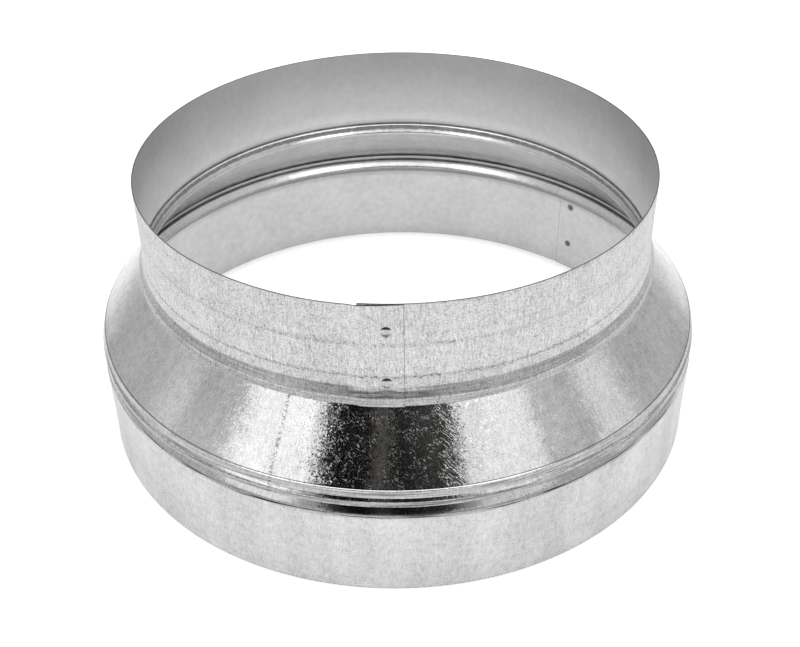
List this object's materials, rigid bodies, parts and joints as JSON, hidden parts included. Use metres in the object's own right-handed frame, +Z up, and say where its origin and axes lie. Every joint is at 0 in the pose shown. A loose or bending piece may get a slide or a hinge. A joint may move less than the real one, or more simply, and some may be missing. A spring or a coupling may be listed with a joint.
{
  "type": "round duct reducer",
  "caption": "Round sheet-steel duct reducer: a small collar, a cone and a large collar joined by folded lock seams, for stepping one round air duct to a larger one.",
  "frame": {"origin": "centre of the base rim, where the large collar stands on the floor", "axes": "+Z up along the duct axis towards the small collar; the lap of the small collar faces -Y"},
  "size_m": [0.301, 0.301, 0.1345],
  "materials": {
    "galvanised_steel": "hot-dip galvanised sheet, satin grey with fine spangle"
  },
  "bodies": {
    "root": {"small_collar": "galvanised_steel", "cone": "galvanised_steel", "large_collar": "galvanised_steel"}
  },
  "joints": []
}
